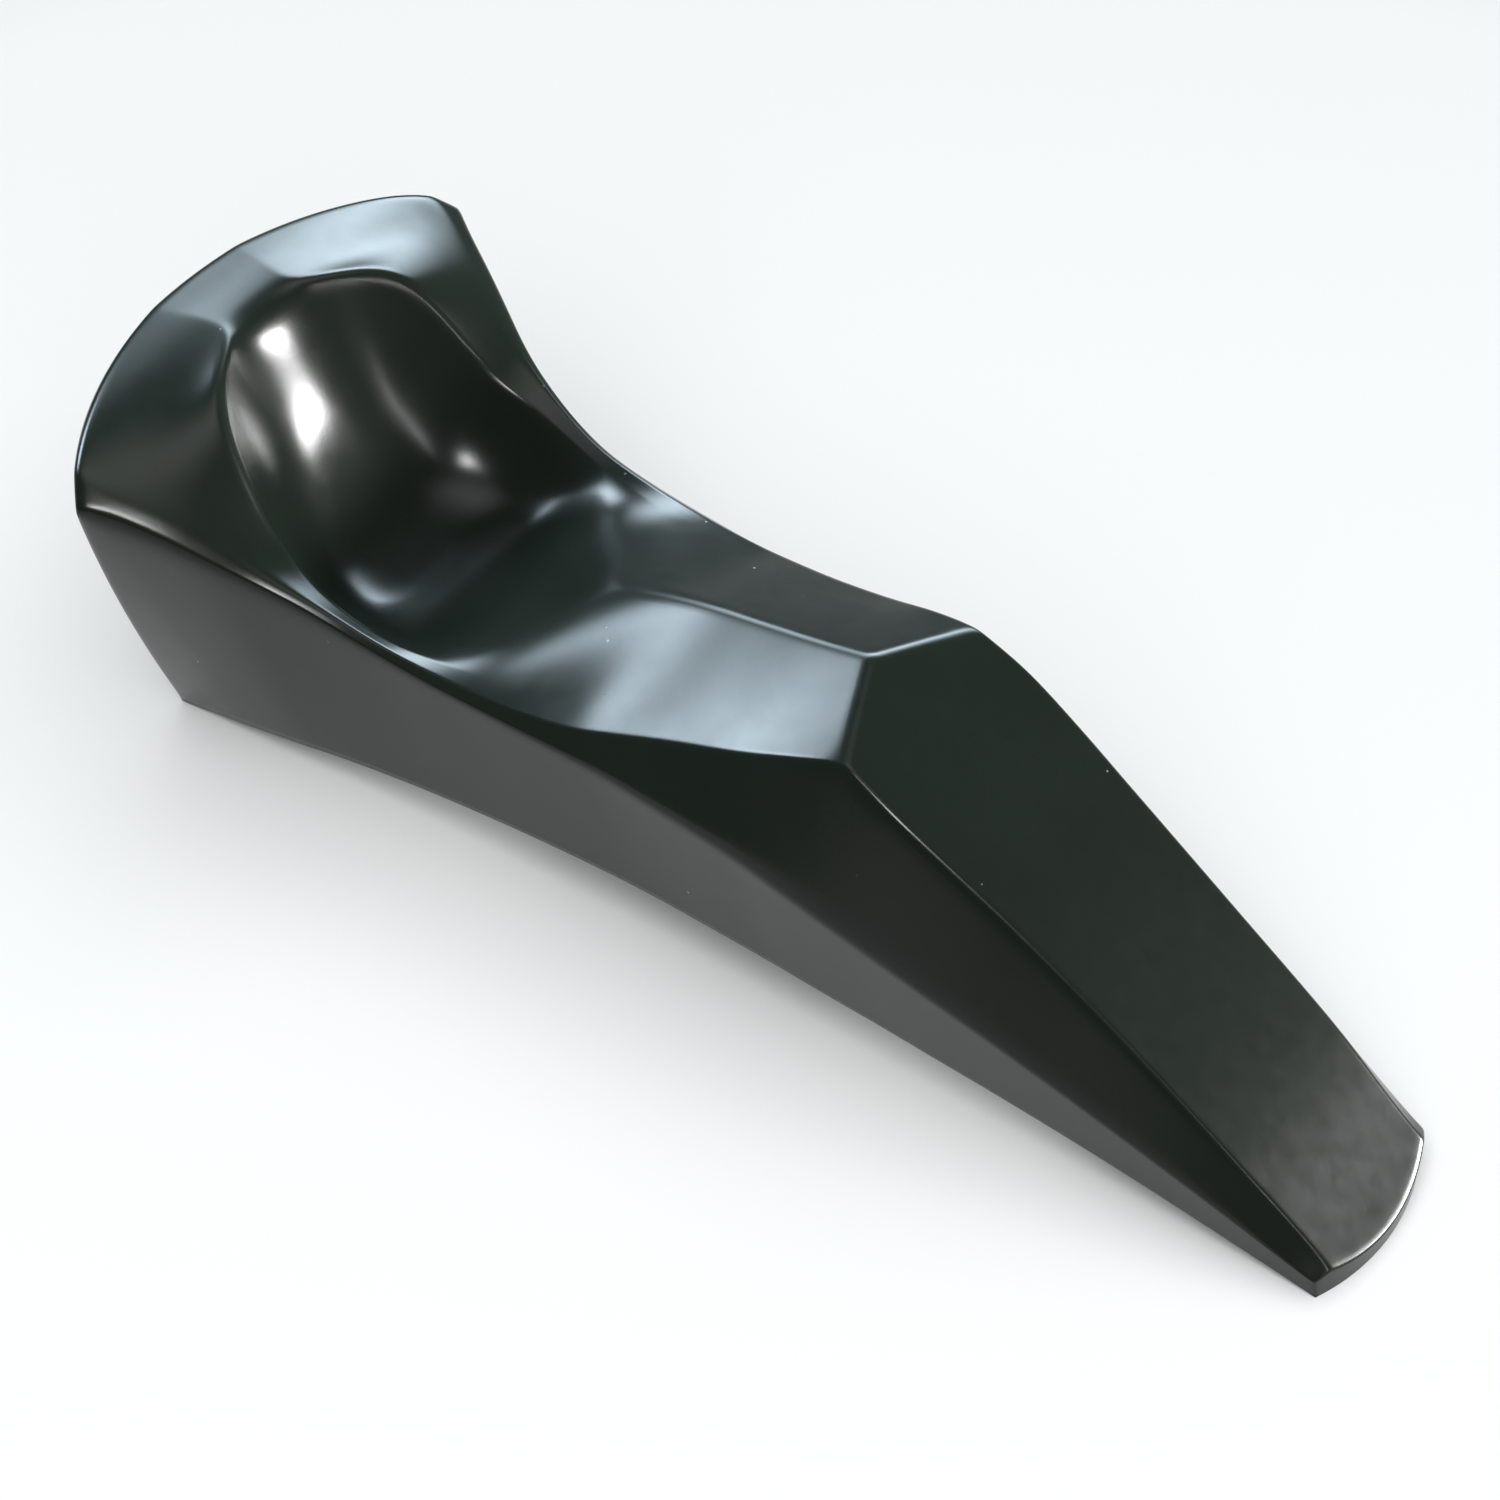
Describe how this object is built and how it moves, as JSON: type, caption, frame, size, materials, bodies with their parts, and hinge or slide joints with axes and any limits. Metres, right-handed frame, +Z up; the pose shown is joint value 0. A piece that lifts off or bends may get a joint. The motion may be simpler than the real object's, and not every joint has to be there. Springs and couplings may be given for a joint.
{
  "type": "telephone handset shoulder rest",
  "caption": "Stick-on shoulder rest for a telephone handset: flared scooped head, ridged saddle, crisp hump and long wedge tail over an arched adhesive underside.",
  "frame": {"origin": "middle of the footprint, on the plane that the rest stands on", "axes": "+X from the raised head to the thin tail, +Y across, +Z up"},
  "size_m": [0.178, 0.0722, 0.0589],
  "materials": {
    "shell_plastic": "gloss",
    "plate_plastic": "satin",
    "pad_foam": "matte",
    "liner_paper": "satin"
  },
  "bodies": {
    "rest": {"outer_shell": "shell_plastic", "mounting_plate": "plate_plastic", "adhesive_pad_head": "pad_foam", "adhesive_pad_tail": "pad_foam"},
    "liner_head": {"release_liner_head": "liner_paper"},
    "liner_tail": {"release_liner_tail": "liner_paper"}
  },
  "joints": [
    {"name": "liner_head_peel", "type": "slide", "parent": "rest", "child": "liner_head", "axis": [0, 0, -1], "range_m": [0, 0.03]},
    {"name": "liner_tail_peel", "type": "slide", "parent": "rest", "child": "liner_tail", "axis": [0, 0, -1], "range_m": [0, 0.03]}
  ]
}
